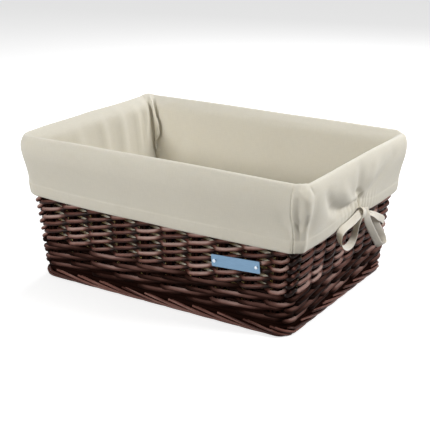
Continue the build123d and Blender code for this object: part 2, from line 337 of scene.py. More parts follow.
def rods(name, paths, radii, up, sides=8, closed=False, tones=None, under=0.0):
    # Round rods: a circle of the rod's radius carried along each path, turned so that one side
    # of it faces up. paths is rods by points by 3, radii rods by points. The tone falls by the
    # given amount from the top of a rod to its underside, as half of one less the sine of the
    # angle: painted shade on the underside.
    paths = np.asarray(paths, float)
    count, points = paths.shape[:2]
    radii = np.broadcast_to(radii, (count, points))
    if closed:
        tangents = unit(np.roll(paths, -1, axis=1) - np.roll(paths, 1, axis=1))
    else:
        tangents = unit(np.gradient(paths, axis=1))
    across = unit(np.cross(np.broadcast_to(up, paths.shape), tangents))
    above = np.cross(tangents, across)
    angles = np.arange(sides) * 2 * np.pi / sides
    rings = (
        paths[:, :, None]
        + radii[:, :, None, None] * np.cos(angles)[:, None] * across[:, :, None]
        + radii[:, :, None, None] * np.sin(angles)[:, None] * above[:, :, None]
    )
    steps = np.linalg.norm(np.diff(paths, axis=1, prepend=paths[:, :1]), axis=-1)
    length = np.cumsum(steps, axis=1)
    rng = np.random.default_rng(sum(map(ord, name)))
    length = length + rng.uniform(0, 30, (count, 1))  # metres that keep two rods' streaks unlike
    around = np.broadcast_to(np.arange(sides) / sides, (count, points, sides))
    uv = np.stack([np.broadcast_to(length[:, :, None], around.shape), around], axis=-1).reshape(-1, 2)
    if tones is None:
        tones = rng.uniform(0, 1, (count, 1))
    # painted shade towards each rod's underside
    shade = under * (0.5 - 0.5 * np.sin(angles))
    tones = (np.broadcast_to(np.asarray(tones)[:, :, None], around.shape) - shade).ravel()
    vertices = rings.reshape(-1, 3)
    firsts = np.arange(count) * points * sides
    faces = []
    for first in firsts:
        faces += gridFaces(points, sides, closed, True, first)
    if not closed:
        starts, finishes = paths[:, 0] - tangents[:, 0] * tip, paths[:, -1] + tangents[:, -1] * tip
        ends = np.concatenate([starts, finishes])
        tips = len(vertices) + np.arange(count)
        faces += tipFaces(tips, firsts, sides, True)
        faces += tipFaces(tips + count, firsts + (points - 1) * sides, sides, False)
        vertices = np.concatenate([vertices, ends])
        uv = np.concatenate([uv, np.zeros((2 * count, 2))])
        tones = np.concatenate([tones, np.zeros(2 * count)])
    return addPiece(name, vertices, faces, uv, tones)


# materials
def startMaterial(name, slotColour):
    # An empty material with its shader. The slot's colour is the one it has before rendering.
    material = bpy.data.materials.new(name)
    material.use_nodes = True
    material.diffuse_color = (*slotColour, 1)
    return material, material.node_tree, material.node_tree.nodes["Principled BSDF"]


def noise(tree, source, scales, detail=2.0):
    # Noise over the source's places, each axis of which is first drawn out by its scale.
    places = addNode(tree, "ShaderNodeMapping", {"Vector": source, "Scale": scales})[0]
    inputs = {"Vector": places, "Scale": 1.0, "Detail": detail}
    return addNode(tree, "ShaderNodeTexNoise", inputs)["Fac"]


def fit(tree, source, start, stop, newStart=0.0, newStop=1.0):
    # Carries start to stop over to newStart to newStop in a straight line.
    inputs = {"Value": source, "From Min": start, "From Max": stop, "To Min": newStart, "To Max": newStop}
    return addNode(tree, "ShaderNodeMapRange", inputs)[0]


def bump(tree, height, strength, distance):
    # The way a surface faces once height tilts it.
    inputs = {"Height": height, "Strength": strength, "Distance": distance}
    return addNode(tree, "ShaderNodeBump", inputs)[0]


def ramp(tree, amount, stops):
    # The colour at an amount along a list of (place, colour).
    node = tree.nodes.new("ShaderNodeValToRGB")
    elements = node.color_ramp.elements
    while len(elements) < len(stops):
        elements.new(0.5)
    for element, (place, colour) in zip(elements, stops):
        element.position = place
        element.color = (*colour, 1)
    setInputs(tree, node, {"Fac": amount})
    return node.outputs["Color"]


willow = {
    # colours at places along the tone of a rod, dark to light: each stroke's own tone, with
    # painted shade towards the dark end and a painted highlight at the light end
    "weaver": [
        (0.12, (0.008, 0.0028, 0.0018)),
        (0.42, (0.042, 0.013, 0.009)),
        (0.66, (0.168, 0.074, 0.057)),
        (0.95, (0.43, 0.29, 0.25)),
    ],
    "wale": [
        (0.15, (0.007, 0.0026, 0.0018)),
        (0.46, (0.028, 0.011, 0.008)),
        (0.78, (0.130, 0.064, 0.052)),
        (0.98, (0.30, 0.19, 0.165)),
    ],
    # stakes: much darker, as painted shade for the dark between the rows of weavers
    "stake": [
        (0.15, (0.006, 0.0022, 0.0015)),
        (0.50, (0.014, 0.0055, 0.0040)),
        (0.95, (0.085, 0.030, 0.022)),
    ],
    "shine": {"weaver": 0.10, "wale": 0.01, "stake": 0.0},
    "roughness": (0.30, 0.46),
    "streaks": (0.3, 0.7),  # stretch of the streaks that carries over to the roughness
    "streakScales": (60.0, 7.0, 1.0),
    "streakDetail": 5.0,
    "patchScales": (40.0, 40.0, 40.0),
    "toneShare": 0.62,
    "streakShare": 0.30,
    "patchShare": 0.26,
    "bump": (0.22, 0.25 * mm),
}


def willowMaterial(name, kind):
    # Stained willow: each stroke has its own tone, which also carries painted shade and painted
    # highlights, with fine streaks along it and soft patches. Their weighted sum picks the colour.
    colours = willow[kind]
    material, tree, shader = startMaterial(name, colours[1][1])
    along = addNode(tree, "ShaderNodeUVMap", {}, uv_map="along")[0]
    place = addNode(tree, "ShaderNodeTexCoord", {})["Object"]
    tone = addNode(tree, "ShaderNodeAttribute", {}, attribute_name="tone")["Fac"]
    streaks = noise(tree, along, willow["streakScales"], willow["streakDetail"])
    patches = noise(tree, place, willow["patchScales"])
    total = arithmetic(tree, "MULTIPLY", tone, willow["toneShare"])
    total = arithmetic(tree, "MULTIPLY_ADD", streaks, willow["streakShare"], total)
    total = arithmetic(tree, "MULTIPLY_ADD", patches, willow["patchShare"], total)
    setInputs(tree, shader, {
        "Base Color": ramp(tree, total, colours),
        "Roughness": fit(tree, streaks, *willow["streaks"], *willow["roughness"]),
        "Normal": bump(tree, streaks, *willow["bump"]),
        "Specular IOR Level": willow["shine"][kind],
    })
    return material


cotton = {
    "cream": (0.665, 0.628, 0.535),
    "tape": (0.75, 0.70, 0.61),
    "thread": (0.63, 0.59, 0.50),
    "darkest": 0.90,  # of the colour, where threads and mottle are at their darkest
    "threadsPerMetre": 1400.0,
    "slubsPerMetre": 90.0,
    "mottleScales": (9.0, 9.0, 9.0),
    "mottleShare": 0.9,
    "stops": (0.9, 1.9),  # stretch of slubs and mottle that carries over to the colours
    "ridge": 0.25,  # height of the weave beside the slubs
    "bump": (0.25, 0.15 * mm),
    "roughness": 0.9,
    "sheen": 0.15,
    "shine": 0.2,
    "through": 0.8,  # share of light that sinks into the cloth
    "sink": 1.6 * mm,  # how far it goes
    "sinkColour": (1.0, 0.95, 0.88),
}


def cottonMaterial(name, kind):
    # Plain weave: the product of two sines, along the cloth's own two directions, with uneven
    # threads drawn out along each, and a slow mottle.
    colour, threads = cotton[kind], cotton["threadsPerMetre"]
    material, tree, shader = startMaterial(name, colour)
    along = addNode(tree, "ShaderNodeUVMap", {}, uv_map="along")[0]
    place = addNode(tree, "ShaderNodeTexCoord", {})["Object"]
    part = addNode(tree, "ShaderNodeSeparateXYZ", {0: along})
    waves = [
        arithmetic(tree, "SINE", arithmetic(tree, "MULTIPLY", part[axis], threads * 2 * np.pi))
        for axis in ("X", "Y")
    ]
    weave = arithmetic(tree, "MULTIPLY", *waves)
    long = cotton["slubsPerMetre"]
    slubs = [noise(tree, along, scales) for scales in ((long, threads, 1.0), (threads, long, 1.0))]
    both = arithmetic(tree, "ADD", *slubs)
    mottle = noise(tree, place, cotton["mottleScales"])
    amount = arithmetic(tree, "MULTIPLY_ADD", mottle, cotton["mottleShare"], both)
    amount = fit(tree, amount, *cotton["stops"])
    dark = tuple(cotton["darkest"] * share for share in colour)
    height = arithmetic(tree, "MULTIPLY_ADD", weave, cotton["ridge"], both)
    setInputs(tree, shader, {
        "Base Color": ramp(tree, amount, [(0.0, dark), (1.0, colour)]),
        "Normal": bump(tree, height, *cotton["bump"]),
        "Roughness": cotton["roughness"],
        "Sheen Weight": cotton["sheen"],
        "Specular IOR Level": cotton["shine"],
        "Subsurface Weight": cotton["through"],
        "Subsurface Radius": cotton["sinkColour"],
        "Subsurface Scale": cotton["sink"],
    })
    return material


willowLook = willowMaterial("stainedWillow", "weaver")
waleLook = willowMaterial("waleWillow", "wale")
# a darker copy of the willow for the stakes and the foot core: painted shade
shadedLook = willowMaterial("shadedWillow", "stake")
clothLook = cottonMaterial("creamCotton", "cream")
tapeLook = cottonMaterial("cottonTape", "tape")
threadLook = cottonMaterial("thread", "thread")


def finishPiece(piece, body, slotName, look, *nodes):
    # The last steps of a piece: its look, its body and the nodes that it replaces.
    # The slot's name is not used.
    piece.data.materials.append(look)
    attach(piece, body)
    if nodes:
        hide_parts(*nodes)
    return piece


# tie: a knot, two loops and an end of flat tape
tie = {
    "width": 9.0 * mm,
    "thickness": 0.9 * mm,
    "smoothness": 12,  # points of the line for each point of a route
    "sides": 16,
    "fullness": 0.55,  # power of the section's cosine: the lower, the squarer its edges
    # route, where it leaves the knot, length, what is at its far end, and the way that the width
    # of the tape points, at places from 0 to 1 along it
    "cords": {
        "tie_loop_left": {
            "route": [
                (0.2030, 0.0010, 0.1190), (0.2026, -0.0090, 0.1165), (0.2021, -0.0200, 0.1135),
                (0.2021, -0.0340, 0.1118), (0.2021, -0.0480, 0.1110), (0.2021, -0.0560, 0.1070),
                (0.2020, -0.0555, 0.0975), (0.2018, -0.0470, 0.0885), (0.2018, -0.0350, 0.0840),
                (0.2018, -0.0230, 0.0860), (0.2018, -0.0155, 0.0930), (0.2021, -0.0120, 0.1020),
                (0.2025, -0.0090, 0.1090), (0.2030, -0.0030, 0.1160),
            ],
            "exit": (0.2020, 0.0, 0.1200),
            "length": 0.1290,
            "farEnd": "object",
            "ways": [
                (0, (-0.6, 0, 0.8)), (0.2, (-0.75, 0.1, 0.62)), (0.4, (-0.82, 0.3, 0.42)),
                (1, (-0.78, 0.45, 0.38)),
            ],
        },
        "tie_loop_right": {
            "route": [
                (0.2040, 0.0045, 0.1225), (0.2078, 0.0022, 0.1170), (0.2080, 0.0066, 0.1050),
                (0.2083, 0.0180, 0.0915), (0.2083, 0.0310, 0.0775), (0.2080, 0.0430, 0.0645),
                (0.2072, 0.0545, 0.0600), (0.2058, 0.0618, 0.0622), (0.2048, 0.0610, 0.0690),
                (0.2043, 0.0520, 0.0790), (0.2040, 0.0410, 0.0920), (0.2040, 0.0270, 0.1040),
                (0.2035, 0.0130, 0.1130),
            ],
            "exit": (0.2030, 0.0094, 0.1120),
            "length": 0.1508,
            "farEnd": "object",
            "ways": [
                (0, (0.35, 0.85, 0.3)), (0.12, (0.60, 0.70, 0.38)), (0.3, (0.68, 0.58, 0.41)),
                (0.65, (0.68, 0.58, 0.41)), (1, (0.5, 0.75, 0.35)),
            ],
        },
        "tie_end": {
            "route": [
                (0.2040, 0.0100, 0.1150), (0.2055, 0.0165, 0.1125), (0.2070, 0.0270, 0.1080),
                (0.2080, 0.0385, 0.1015), (0.2085, 0.0490, 0.0965), (0.2085, 0.0550, 0.0915),
                (0.2060, 0.0560, 0.0880),
            ],
            "exit": (0.2046, 0.0130, 0.1203),
            "length": 0.0548,
            "farEnd": "bare",
            "ways": [
                (0, (-0.5, 0.75, 0.05)), (0.25, (-0.45, 0.6, 0.35)), (0.6, (-0.1, 0.1, 1)),
                (1, (0.1, 0.5, 0.8)),
            ],
        },
    },
}
knot = {
    "middle": np.array((0.2022, -0.0005, 0.1168)),
    "depth": 4.4 * mm,
    "rise": 5.8 * mm,
    "growth": 0.9 * mm,  # how far the wrap's end lies out from its start
    "lean": 0.30,  # how far the wrap's top leans along Y for each metre up
    "from": -200.0,
    "to": 190.0,
    "points": 60,
    "coreRadius": 3.3 * mm,
    "coreSpan": 4.0 * mm,
    "corePoints": 16,
    "coreSides": 12,
    "coreTaper": 0.8,  # how much of the core's section is gone at its ends
}


def splineLine(name, points):
    # The smooth line that a route's points control, read back as points close together.
    data = bpy.data.curves.new(name, "CURVE")
    data.dimensions = "3D"
    data.resolution_u = tie["smoothness"]
    spline = data.splines.new("NURBS")
    spline.points.add(len(points) - 1)
    for point, place in zip(spline.points, points):
        point.co = (*place, 1)
    spline.order_u = 3
    spline.use_endpoint_u = True
    thing = addThing(name, data)
    line = bpy.data.meshes.new_from_object(thing)
    places = np.empty(len(line.vertices) * 3)
    line.vertices.foreach_get("co", places)
    bpy.data.objects.remove(thing)
    bpy.data.meshes.remove(line)
    return places.reshape(-1, 3)


def tape(name, line, acrossKeys):
    # A flat strip: a flattened round-edged section carried along the line. acrossKeys gives the
    # way that the tape's width points at places from 0 to 1 along it.
    count = len(line)
    steps = np.linalg.norm(np.diff(line, axis=0, prepend=line[:1]), axis=1)
    length = np.cumsum(steps)
    share = length / length[-1]
    tangents = unit(np.gradient(line, axis=0))
    places = [place for place, way in acrossKeys]
    ways = np.array([way for place, way in acrossKeys], float)
    across = np.stack([np.interp(share, places, ways[:, axis]) for axis in range(3)], axis=-1)
    across = unit(across - tangents * (across * tangents).sum(-1, keepdims=True))
    face = np.cross(tangents, across)
    sides = tie["sides"]
    angles = np.arange(sides) * 2 * np.pi / sides
    # a flat oval: the width to a power under 1 fills its ends out
    wide = np.sign(np.cos(angles)) * np.abs(np.cos(angles)) ** tie["fullness"] * tie["width"] / 2
    thick = np.sin(angles) * tie["thickness"] / 2
    rings = line[:, None] + wide[:, None] * across[:, None] + thick[:, None] * face[:, None]
    vertices = np.concatenate([rings.reshape(-1, 3), line[:1], line[-1:]])
    tips = count * sides
    faces = gridFaces(count, sides, False, True)
    faces += tipFaces(tips, 0, sides, True) + tipFaces(tips + 1, tips - sides, sides, False)
    uv = np.stack([np.repeat(length, sides), np.tile(wide, count)], axis=-1)
    uv = np.concatenate([uv, [[0, 0], [length[-1], 0]]])
    return addPiece(name, vertices, faces, uv)


def makeTie():
    # Each loop and end is tape along its route's smooth line.
    for node, cord in tie["cords"].items():
        line = splineLine(node, cord["route"])
        piece = tape(node + "_tape", line, cord["ways"])
        finishPiece(piece, "liner", "tape", tapeLook, node)


def makeKnot():
    # A turn of tape round a short core: an ellipse in depth and height that leans over, and
    # grows a little so that its end lies over its start. The core's section shrinks as the
    # square of the distance from its middle.
    up = unit(np.array([0, knot["lean"], 1.0]))
    out = np.array([1.0, 0, 0])
    angle = np.radians(np.linspace(knot["from"], knot["to"], knot["points"]))[:, None]
    grow = np.linspace(0, knot["growth"], knot["points"])[:, None]
    line = knot["middle"] + (knot["depth"] + grow) * np.cos(angle) * out
    line = line + (knot["rise"] + grow) * np.sin(angle) * up
    way = np.cross(up, out)
    piece = tape("tie_knot_wrap", line, [(0, way), (1, way)])
    finishPiece(piece, "liner", "tape", tapeLook, "tie_knot")
    share = np.linspace(-1, 1, knot["corePoints"])
    core = knot["middle"] + share[:, None] * knot["coreSpan"] * way
    radii = knot["coreRadius"] * np.sqrt(1 - knot["coreTaper"] * share**2)
    piece = rods("tie_knot_core", core[None], radii[None], up, knot["coreSides"])
    finishPiece(piece, "liner", "tape", tapeLook)


makeKnot()
makeTie()
print("tie: knot, loops and end")

# willow wall
low, high = boxOf("weavers_front")
weaving = {
    "radius": 2.5 * mm,
    "rows": 12,
    "inset": 2.3 * mm,  # from the ends of the woven height to the first and last row
    "perStake": 14,
    # painted shade: how far the tone falls on each rod's underside
    "under": 0.85,
    "endRadius": 0.98,  # share of the radius on the two ends
    # place past a stake, counted in stakes, and millimetres above the row or out from the wall
    "climb": [(-0.14, -3.2), (0.86, 3.4), (1.14, -0.8), (1.7, -2.6)],
    "reach": [
        (-0.10, 5.6), (0.3, 4.9), (0.75, 0.8), (0.92, -4.4), (1.16, -5.0), (1.45, -3.6), (1.74, 0.0),
    ],
    # 1 where a rod lies out in the light and keeps its tone, 0 where painted shade darkens it behind its
    # neighbours
    "bare": [(-0.10, 0.85), (0.1, 1.0), (0.52, 1.0), (0.70, 0.2), (1.0, 0.0), (1.6, 0.1), (1.82, 0.3)],
    # the same three on the two ends, where the rods swing more evenly
    "endClimb": [(-0.40, -2.6), (0.0, -1.2), (0.5, 1.0), (0.9, 2.4), (1.2, -0.5)],
    "endReach": [
        (-0.55, 0.0), (-0.2, 4.0), (0.05, 5.0), (0.3, 4.4), (0.62, 0.8), (0.9, -4.0), (1.1, -4.4),
    ],
    "endBare": [(-0.42, 0.0), (-0.26, 0.9), (0.25, 0.9), (0.5, 0.1), (0.9, 0.0), (1.4, 0.0)],
    # softness of the bends, on front and back and on the two ends
    "softSwing": (0.05, 0.08),
    "softFree": (0.03, 0.03),
    # how far a rod strays: amount, waves round the basket, and what is added to its seed
    "strayOut": (0.25 * mm, 40, 50),
    "strayUp": [(0.45 * mm, 9, 0), (0.25 * mm, 60, 20)],
    "strayThick": (0.09, 12, 80),
    # a stroke's tone: span of the random draw, what is added, and how much painted shade takes off where a
    # rod lies behind its neighbours
    "tones": (0.25, 1),
    "tonesUp": 0.3,
    "paintedShadeDepth": 0.95,
    # stakes from where one stroke begins to the next, and from there to the place 0
    "period": 2,
    "strokeStart": 1.0,
    "seed": 100,
    # turn of an end's middle, the turns from there to where the sides begin, and how many of
    # them the change takes
    "endSpan": (2.5, 0.95, 0.4),
}
weaving["heights"] = np.linspace(low[2] + weaving["inset"], high[2] - weaving["inset"], weaving["rows"])
# the stake at the near corner, where the two rods of a pair cross aslant in the dark
post = {
    "stake": 10.0,
    "halfWidth": 0.62,  # in stakes, as is the next
    "fade": 0.3,
    "reach": (4.6, -4.9),  # millimetres out from the wall, for each rod
    "climb": 3.0,  # millimetres
    "rate": 5.2,  # radians of the climb's sine for each stake
    # what the tone loses there as painted shade, and how much of that it keeps at the post's middle
    # as a painted glint
    "dark": 0.9,
    "paintedGlint": 0.5,
    "paintedGlintWidth": 0.09,
}


def stray(around, seed, amount, waves, more):
    # An amount times a wander with its own seed.
    return amount * wander(around, waves, seed + more)


def wovenRod(weave, seed, place, turns, height, reach, climb, bare):
    # One rod round the basket: the wall's point at its reach and climb, which stray a little.
    # Each stroke's tone is a random draw, which painted shade darkens where the rod dips
    # behind its neighbours.
    around = np.arange(len(place)) / len(place)
    out = mm * reach + stray(around, seed, *weave["strayOut"])
    z = height + mm * climb
    for waves in weave["strayUp"]:
        z = z + stray(around, seed, *waves)
    radius = weave["radius"] * (1 + stray(around, seed, *weave["strayThick"]))
    strokes = stakeCount // weave["period"]
    stroke = np.floor((place + weave["strokeStart"]) / weave["period"]).astype(int) % strokes
    tone = np.random.default_rng(seed).uniform(*weave["tones"], strokes)[stroke]
    return wallPoint(turns, z, out), radius, tone + weave["tonesUp"] - (1 - bare) * weave["paintedShadeDepth"]


def weaveRods(name, weave, made, look, part):
    # A piece from its rods' paths, radii and tones.
    paths, radii, tones = map(np.array, zip(*made))
    piece = rods(name, paths, radii, (0, 0, 1), closed=True, tones=tones, under=weave["under"])
    finishPiece(piece, "basket", "willow", look, *sideNames(part))


def onEnds(turns):
    # 1 on the two ends, 0 on the front and back, with a soft change over the corners.
    middle, reach, change = weaving["endSpan"]
    return softStep((reach - np.abs(np.mod(turns, 4) - middle)) / change)


def weaverCurve(place, ends, kind, softness):
    # A weaver's rhythm on the front and back, changing over to its rhythm on the two ends.
    curve = rhythm(place, weaving["period"], weaving[kind], softness[0]) * (1 - ends)
    return curve + rhythm(place, weaving["period"], weaving["end" + kind.title()], softness[1]) * ends


def makeWeaving():
    # Pairing: two rods a stake apart twist round each other. Each comes out just before a
    # stake, passes over it, climbs slowly and slips inside the next, behind which it drops.
    # At the post one stays outside and the other inside, rising and falling as a sine. Their
    # tone is darkened there as painted shade, less at the post's middle: a painted glint.
    stake = np.arange(stakeCount * weaving["perStake"]) / weaving["perStake"]
    away = stake - post["stake"]
    behind = softStep((post["halfWidth"] - np.abs(away)) / post["fade"])
    # painted shade over the post, with a painted glint at its middle
    shade = (post["dark"] - post["paintedGlint"] * np.exp(-((away / post["paintedGlintWidth"]) ** 2))) * behind
    lift = post["climb"] * np.sin(away * post["rate"]) * behind
    lowRows, highRows = np.split(weaving["heights"], 2)
    for name, heights in (("weavers_low", lowRows), ("weavers_high", highRows)):
        made = []
        for height in heights:
            turns = turnOf(stake, height)
            ends = onEnds(turns)
            for rod in range(2):
                place = stake + rod
                reach = weaverCurve(place, ends, "reach", weaving["softSwing"]) * (1 - behind)
                reach = reach + post["reach"][rod] * behind
                climb = weaverCurve(place, ends, "climb", weaving["softSwing"]) * (1 - behind)
                climb = climb + (1 - 2 * rod) * lift
                bare = weaverCurve(place, ends, "bare", weaving["softFree"])
                seed = weaving["seed"] + int(round(height / mm)) * 2 + rod
                path, radius, tone = wovenRod(weaving, seed, place, turns, height, reach, climb, bare)
                thick = 1 + (weaving["endRadius"] - 1) * ends
                made.append((path, radius * thick, tone - shade))
        weaveRods(name, weaving, made, willowLook, "weavers")


makeWeaving()
print("willow: weavers")

low, high = boxOf("waling_front")
wale = {
    "radius": 2.8 * mm,
    "rows": 5,
    "perStake": 12,
    # painted shade: how far the tone falls on each rod's underside
    "under": 0.8,
    "climb": [(-0.14, -2.0), (1.86, 2.2), (2.2, -0.4), (3.6, -1.6)],
    "reach": [(-0.2, 5.4), (0.3, 5.0), (1.2, 4.7), (1.7, 1.0), (1.95, -4.4), (3.2, -4.6), (3.66, 0.0)],
    # 1 where a rod lies out in the light, 0 where painted shade darkens it behind its neighbours
    "bare": [(-0.2, 0.2), (0.1, 0.8), (0.7, 1.0), (1.2, 0.6), (1.6, 0.1), (2.0, 0.0), (3.7, 0.0)],
    "strayOut": (0.25 * mm, 40, 0),
    "strayUp": [(0.4 * mm, 30, 20)],
    "strayThick": (0.10, 30, 40),
    "tones": (0, 1),
    "tonesUp": 0.35,
    "paintedShadeDepth": 0.9,
    "period": 4,
    "strokeStart": 0.5,
    "seed": 300,
}
wale["heights"] = np.linspace(low[2] + wale["radius"], high[2] - wale["radius"], wale["rows"])


def makeWale():
    # Two heavier rods to a row, each over two stakes and behind the next two, and each row a
    # stake further on than the row above it.
    stake = np.arange(stakeCount * wale["perStake"]) / wale["perStake"]
    made = []
    for row, height in enumerate(wale["heights"]):
        for rod in range(2):
            place = stake + 2 * rod + row
            curves = [rhythm(place, wale["period"], wale[kind]) for kind in ("reach", "climb", "bare")]
            seed = wale["seed"] + row * 2 + rod
            made.append(wovenRod(wale, seed, place, turnOf(stake, height), height, *curves))
    weaveRods("wale", wale, made, waleLook, "waling")


makeWale()

stakes = {
    "beside": 2.5 * mm,  # from a stake's place to each of its two rods
    "points": 12,
    "way": (1, 0.3, 0),  # that one side of every rod faces
    # low tones for the darker stakes: painted shade
    "tones": (0, 0.35),
    "seed": 5,
}


def makeStakes():
    # Straight rods in pairs, one each side of every stake's place.
    share = np.linspace(0, 1, stakes["points"])
    height = wall["low"] + (wall["high"] - wall["low"]) * share
    paths = []
    for first, last in zip(stakeTurns(wall["low"]), stakeTurns(wall["high"])):
        turns = first + (last - first) * share
        way = outwards(turns)
        beside = np.stack([-way[:, 1], way[:, 0], 0 * share], axis=-1)
        middle = wallPoint(turns, height, 0 * share)
        paths += [middle + sign * stakes["beside"] * beside for sign in (-1, 1)]
    tones = np.random.default_rng(stakes["seed"]).uniform(*stakes["tones"], (len(paths), 1))
    piece = rods("stakes", paths, stakeRadius, stakes["way"], tones=tones)
    finishPiece(piece, "basket", "willow", shadedLook, "stakes_corners", *sideNames("stakes"))


makeStakes()
print("willow: wale and stakes")

# what the foot and rim borders share
rolls = {
    "points": 64,
    "loose": 0.3,  # how unlike the rods' spreads are
    "thickness": (0.92, 1.05),
    "taper": ([0, 0.1, 0.9, 1], [1, 1, 1, 0.6]),  # places along a rod and its thickness there
}


def rolledBorder(name, border, *nodes):
    # Rods that lie aslant round a level roll. A rod starts at each stake, above the roll for
    # the foot and inside it for the rim, and turns round the roll while it passes some stakes.
    share = np.linspace(0, 1, rolls["points"])
    angle = np.radians(border["from"] + (border["to"] - border["from"]) * share)
    taper = np.interp(share, *rolls["taper"])
    paths, radii = [], []
    rng = np.random.default_rng(sum(map(ord, name)))
    for number in range(stakeCount):
        for pair in range(2):
            stake = number + border["stakes"] * share + pair * border["pairLag"]
            spread = border["spread"] * (2 * share - 1) * (1 + rng.uniform(-rolls["loose"], rolls["loose"]))
            out = border["offset"] + (border["roll"] + spread) * np.cos(angle)
            z = border["height"] + (border["roll"] + spread) * np.sin(angle)
            paths.append(wallPoint(turnOf(stake, border["height"]), z, out))
            radii.append(border["radius"] * rng.uniform(*rolls["thickness"]) * taper)
    up = unit(np.gradient(np.array(paths), axis=1))
    level = np.cross(up, (0, 0, 1.0))
    tones = rng.uniform(*border["tones"], (2 * stakeCount, 1))
    piece = rods(name, paths, radii, np.cross(level, up), tones=tones)
    finishPiece(piece, "basket", "willow", willowLook, *nodes)


footBorder = {
    "height": 6.2 * mm,
    "offset": 2.3 * mm,
    "roll": 4.8 * mm,
    "spread": -0.6 * mm,
    "radius": 1.35 * mm,
    "stakes": 5.2,
    "pairLag": 0.16,
    "from": 66.0,
    "to": -215.0,
    "tones": (0.1, 0.7),
}
rimBorder = {
    "height": 170.5 * mm,
    "offset": 1.5 * mm,
    "roll": 5.6 * mm,
    "spread": 0.3 * mm,
    "radius": 1.8 * mm,
    "stakes": 5.4,
    "pairLag": 0.45,
    "from": 250.0,
    "to": -85.0,
    "tones": (0.0, 1.0),
}
footCore = {
    "heights": (6.4 * mm, 11.8 * mm, 17.2 * mm, 22.6 * mm),
    "offset": 1.2 * mm,
    "radius": 3.7 * mm,
    "points": 240,
    "sides": 10,
    "tone": 0.1,
}


def makeFootCore():
    # Level dark rods inside the foot and the wale, so that no light shows between their rods:
    # dark filler as painted shade where only shade is seen.
    along = np.linspace(0, 8, footCore["points"], endpoint=False)
    paths = [wallPoint(along, height, footCore["offset"]) for height in footCore["heights"]]
    tones = np.full((len(paths), 1), footCore["tone"])
    piece = rods("foot_core", paths, footCore["radius"], (0, 0, 1), footCore["sides"], True, tones)
    finishPiece(piece, "basket", "willow", shadedLook)


rolledBorder("foot_border", footBorder, *sideNames("foot_border"))
makeFootCore()
rolledBorder("rim_border", rimBorder, *sideNames("rim_border"))
print("willow: borders")

# base
low, high = boxOf("base_sticks")
stickRadius = 3.5 * mm
base = {
    "height": (low[2] + high[2]) / 2,
    "halfLength": high[0],
    "halfWidth": 112.5 * mm,
    "sticks": 7,
    "stickSpan": high[1] - stickRadius,
    "stickPoints": 40,
    "stickSides": 10,
    "bow": 0.8 * mm,
    "bowWaves": 3,
    "bowSeed": 1000,
    "weavers": 60,
    "weaverRadius": 2.4 * mm,
    "weaverInset": 4 * mm,  # from the ends of the sticks to the outermost weavers
    "weaverPoints": 90,
}


def makeBase():
    # Slightly bowed sticks along the length, and rods across that swing over and under them as
    # a cosine.
    share = np.linspace(-1, 1, base["stickPoints"])
    span = base["stickSpan"]
    paths = []
    for y in np.linspace(-span, span, base["sticks"]):
        bow = base["bow"] * wander((share + 1) / 2, base["bowWaves"], int(base["bowSeed"] + y * 1000))
        paths.append(np.stack([share * base["halfLength"], y + bow, base["height"] + 0 * share], axis=-1))
    piece = rods("base_sticks_round", paths, stickRadius, (0, 0, 1), base["stickSides"])
    finishPiece(piece, "basket", "willow", willowLook, "base_sticks")
    pitch = 2 * span / (base["sticks"] - 1)
    y = np.linspace(-base["halfWidth"], base["halfWidth"], base["weaverPoints"])
    swing = (stickRadius + base["weaverRadius"]) * np.cos(np.pi * (y + span) / pitch)
    paths = []
    last = base["halfLength"] - base["weaverInset"]
    for number, x in enumerate(np.linspace(-last, last, base["weavers"])):
        z = base["height"] + swing * (1 if number % 2 else -1)
        paths.append(np.stack([x + 0 * y, y, z], axis=-1))
    piece = rods("base_weavers_round", paths, base["weaverRadius"], (0, 0, 1))
    finishPiece(piece, "basket", "willow", willowLook, "base_weavers")


makeBase()
print("willow: base")

# badge: its two nodes keep their shapes and get metal looks
metal = {
    "plate": (0.168, 0.27, 0.385),
    "plateRoughness": 0.42,
    "pins": (0.62, 0.68, 0.74),
    "pinsRoughness": 0.22,
    "lineScales": (120.0, 3000.0, 3000.0),
    "stops": (0.3, 0.7),
    "darkest": 0.85,
}


def metalMaterial(name, kind):
    # Brushed metal: noise drawn out along X makes fine lines.
    colour = metal[kind]
    material, tree, shader = startMaterial(name, colour)
    lines = noise(tree, addNode(tree, "ShaderNodeTexCoord", {})["Object"], metal["lineScales"])
    dark = tuple(metal["darkest"] * share for share in colour)
    setInputs(tree, shader, {
        "Base Color": ramp(tree, lines, list(zip(metal["stops"], (dark, colour)))),
        "Metallic": 1.0,
        "Roughness": metal[kind + "Roughness"],
    })
    return material


for node, look in (
    ("badge_plate", metalMaterial("bluedMetal", "plate")),
    ("badge_pins", metalMaterial("pinMetal", "pins")),
):
    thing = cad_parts[node]
    thing.data.materials.clear()
    thing.data.materials.append(look)

